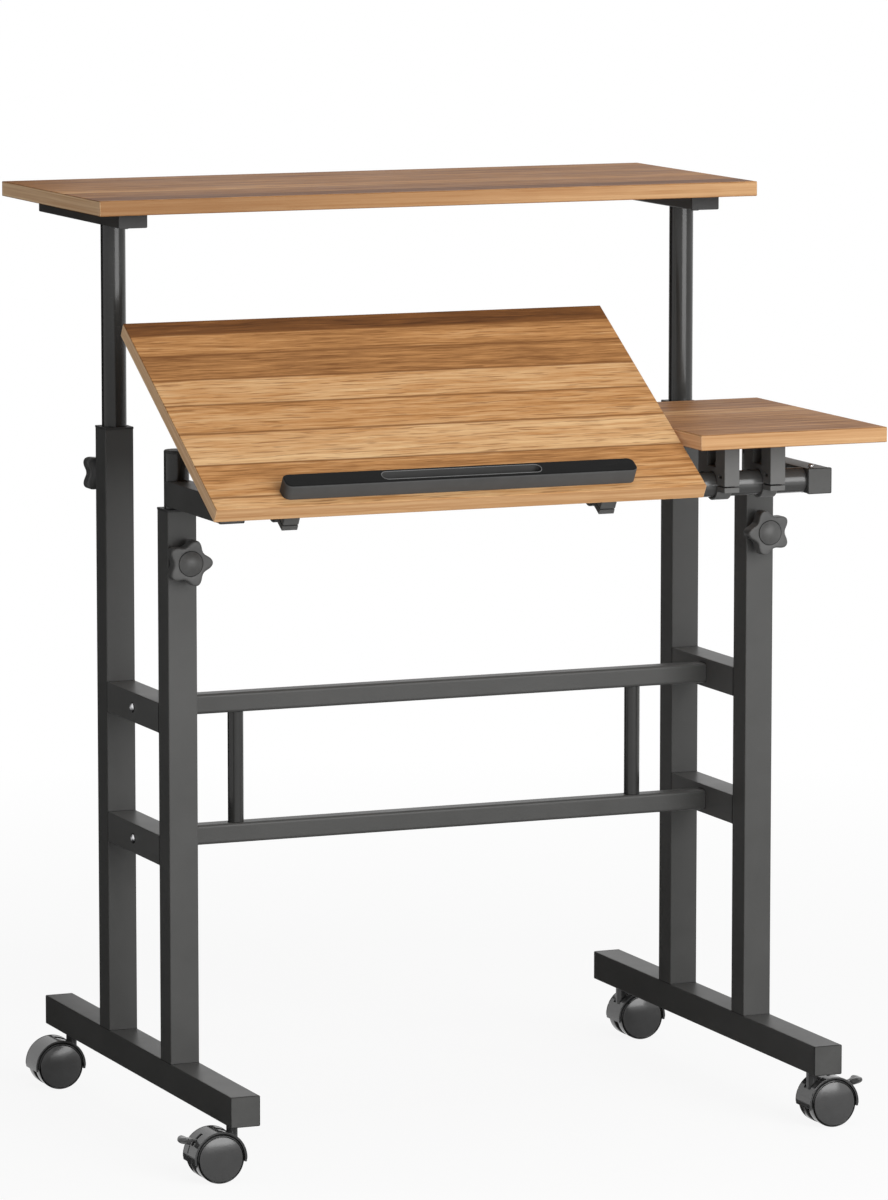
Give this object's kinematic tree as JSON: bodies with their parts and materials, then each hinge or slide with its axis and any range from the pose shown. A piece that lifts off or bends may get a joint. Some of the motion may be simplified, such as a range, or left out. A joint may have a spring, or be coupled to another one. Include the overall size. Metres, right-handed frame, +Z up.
{
  "type": "mobile standing desk",
  "caption": "Rolling standing desk with a tilting writing board, a level side board and a raised rear shelf on clamped telescoping tubes.",
  "frame": {"origin": "on the floor, under the middle of the desk's outer box", "axes": "+Z up, +Y to the rear shelf, +X to the user's right"},
  "size_m": [0.7374, 0.6219, 0.9365],
  "materials": {
    "board_laminate": "satin walnut-look laminate",
    "frame_paint": "satin charcoal powder coat",
    "bright_fastener": "bright chrome",
    "plated_steel": "zinc plate",
    "knob_plastic": "satin moulded plastic",
    "caster_plastic": "semi-gloss moulded plastic",
    "ledge_plastic": "fine moulded grain",
    "clamp_plastic": "moulded plastic",
    "plug_plastic": "moulded plastic"
  },
  "bodies": {
    "base": {"left_foot": "frame_paint", "right_foot": "frame_paint", "foot_end_caps": "plug_plastic", "left_rear_post": "frame_paint", "right_rear_post": "frame_paint", "left_front_post": "frame_paint", "right_front_post": "frame_paint", "rungs": "frame_paint", "crossbars": "frame_paint", "spindles": "frame_paint", "crossbar_bolts": "bright_fastener", "post_bushes": "plug_plastic", "knob_inserts": "plated_steel", "caster_sockets": "plug_plastic"},
    "shelf_frame": {"left_shelf_tube": "frame_paint", "right_shelf_tube": "frame_paint", "shelf_bars": "frame_paint", "rear_shelf": "board_laminate", "shelf_screws": "plated_steel", "shelf_plugs": "plug_plastic"},
    "desk_frame": {"left_upright": "frame_paint", "right_upright": "frame_paint", "left_arm": "frame_paint", "right_arm": "frame_paint", "arm_end_caps": "plug_plastic", "pivot_tube": "frame_paint", "arm_bolts": "bright_fastener", "side_board": "board_laminate", "side_clamp_blocks": "clamp_plastic", "side_clamp_caps": "clamp_plastic", "side_clamp_screws": "plated_steel", "upright_plugs": "plug_plastic"},
    "writing_board": {"tilt_board": "board_laminate", "tilt_clamp_blocks": "clamp_plastic", "tilt_clamp_caps": "clamp_plastic", "tilt_screws": "plated_steel", "ledge": "ledge_plastic"},
    "front_left_clamp": {"left_front_knob": "knob_plastic"},
    "rear_left_clamp": {"left_rear_knob": "knob_plastic"},
    "front_right_clamp": {"right_front_knob": "knob_plastic"},
    "rear_right_clamp": {"right_rear_knob": "knob_plastic"},
    "front_left_caster": {"front_left_caster_hood": "caster_plastic", "front_left_caster_pins": "plated_steel"},
    "front_left_caster_wheel_inner_body": {"front_left_caster_wheel_inner": "caster_plastic"},
    "front_left_caster_wheel_outer_body": {"front_left_caster_wheel_outer": "caster_plastic"},
    "front_left_caster_brake": {"front_left_caster_brake_lever": "caster_plastic"},
    "front_right_caster": {"front_right_caster_hood": "caster_plastic", "front_right_caster_pins": "plated_steel"},
    "front_right_caster_wheel_inner_body": {"front_right_caster_wheel_inner": "caster_plastic"},
    "front_right_caster_wheel_outer_body": {"front_right_caster_wheel_outer": "caster_plastic"},
    "front_right_caster_brake": {"front_right_caster_brake_lever": "caster_plastic"},
    "rear_left_caster": {"rear_left_caster_hood": "caster_plastic", "rear_left_caster_pins": "plated_steel"},
    "rear_left_caster_wheel_inner_body": {"rear_left_caster_wheel_inner": "caster_plastic"},
    "rear_left_caster_wheel_outer_body": {"rear_left_caster_wheel_outer": "caster_plastic"},
    "rear_right_caster": {"rear_right_caster_hood": "caster_plastic", "rear_right_caster_pins": "plated_steel"},
    "rear_right_caster_wheel_inner_body": {"rear_right_caster_wheel_inner": "caster_plastic"},
    "rear_right_caster_wheel_outer_body": {"rear_right_caster_wheel_outer": "caster_plastic"}
  },
  "joints": [
    {"name": "shelf_height", "type": "slide", "parent": "base", "child": "shelf_frame", "axis": [0, 0, 1], "range_m": [-0.2, 0.215]},
    {"name": "desk_height", "type": "slide", "parent": "base", "child": "desk_frame", "axis": [0, 0, 1], "range_m": [0, 0.4]},
    {"name": "board_tilt", "type": "hinge", "parent": "desk_frame", "child": "writing_board", "pos_m": [0, -0.21738, 0.656], "axis": [1, 0, 0], "range_deg": [-31, 59]},
    {"name": "front_left_knob_turn", "type": "hinge", "parent": "base", "child": "front_left_clamp", "pos_m": [-0.3125, -0.09538, 0.5905], "axis": [0, -1, 0], "range_deg": [0, 540]},
    {"name": "rear_left_knob_turn", "type": "hinge", "parent": "base", "child": "rear_left_clamp", "pos_m": [-0.3125, 0.11462, 0.653], "axis": [0, 1, 0], "range_deg": [0, 540]},
    {"name": "front_right_knob_turn", "type": "hinge", "parent": "base", "child": "front_right_clamp", "pos_m": [0.3125, -0.09538, 0.5905], "axis": [0, -1, 0], "range_deg": [0, 540]},
    {"name": "rear_right_knob_turn", "type": "hinge", "parent": "base", "child": "rear_right_clamp", "pos_m": [0.3125, 0.11462, 0.653], "axis": [0, 1, 0], "range_deg": [0, 540]},
    {"name": "front_left_caster_swivel", "type": "hinge", "parent": "base", "child": "front_left_caster", "pos_m": [-0.3125, -0.22538, 0], "axis": [0, 0, 1], "continuous": true},
    {"name": "front_left_caster_wheel_inner_spin", "type": "hinge", "parent": "front_left_caster", "child": "front_left_caster_wheel_inner_body", "pos_m": [-0.33, -0.22538, 0.024], "axis": [0, 1, 0], "continuous": true},
    {"name": "front_left_caster_wheel_outer_spin", "type": "hinge", "parent": "front_left_caster", "child": "front_left_caster_wheel_outer_body", "pos_m": [-0.33, -0.22538, 0.024], "axis": [0, 1, 0], "continuous": true},
    {"name": "front_left_caster_brake_press", "type": "hinge", "parent": "front_left_caster", "child": "front_left_caster_brake", "pos_m": [-0.3435, -0.22538, 0.04009], "axis": [0, -1, 0], "range_deg": [0, 16]},
    {"name": "front_right_caster_swivel", "type": "hinge", "parent": "base", "child": "front_right_caster", "pos_m": [0.3125, -0.22538, 0], "axis": [0, 0, 1], "continuous": true},
    {"name": "front_right_caster_wheel_inner_spin", "type": "hinge", "parent": "front_right_caster", "child": "front_right_caster_wheel_inner_body", "pos_m": [0.33, -0.22538, 0.024], "axis": [0, 1, 0], "continuous": true},
    {"name": "front_right_caster_wheel_outer_spin", "type": "hinge", "parent": "front_right_caster", "child": "front_right_caster_wheel_outer_body", "pos_m": [0.33, -0.22538, 0.024], "axis": [0, 1, 0], "continuous": true},
    {"name": "front_right_caster_brake_press", "type": "hinge", "parent": "front_right_caster", "child": "front_right_caster_brake", "pos_m": [0.3435, -0.22538, 0.04009], "axis": [0, 1, 0], "range_deg": [0, 16]},
    {"name": "rear_left_caster_swivel", "type": "hinge", "parent": "base", "child": "rear_left_caster", "pos_m": [-0.3125, 0.24462, 0], "axis": [0, 0, 1], "continuous": true},
    {"name": "rear_left_caster_wheel_inner_spin", "type": "hinge", "parent": "rear_left_caster", "child": "rear_left_caster_wheel_inner_body", "pos_m": [-0.33, 0.24462, 0.024], "axis": [0, 1, 0], "continuous": true},
    {"name": "rear_left_caster_wheel_outer_spin", "type": "hinge", "parent": "rear_left_caster", "child": "rear_left_caster_wheel_outer_body", "pos_m": [-0.33, 0.24462, 0.024], "axis": [0, 1, 0], "continuous": true},
    {"name": "rear_right_caster_swivel", "type": "hinge", "parent": "base", "child": "rear_right_caster", "pos_m": [0.3125, 0.24462, 0], "axis": [0, 0, 1], "continuous": true},
    {"name": "rear_right_caster_wheel_inner_spin", "type": "hinge", "parent": "rear_right_caster", "child": "rear_right_caster_wheel_inner_body", "pos_m": [0.33, 0.24462, 0.024], "axis": [0, 1, 0], "continuous": true},
    {"name": "rear_right_caster_wheel_outer_spin", "type": "hinge", "parent": "rear_right_caster", "child": "rear_right_caster_wheel_outer_body", "pos_m": [0.33, 0.24462, 0.024], "axis": [0, 1, 0], "continuous": true}
  ]
}
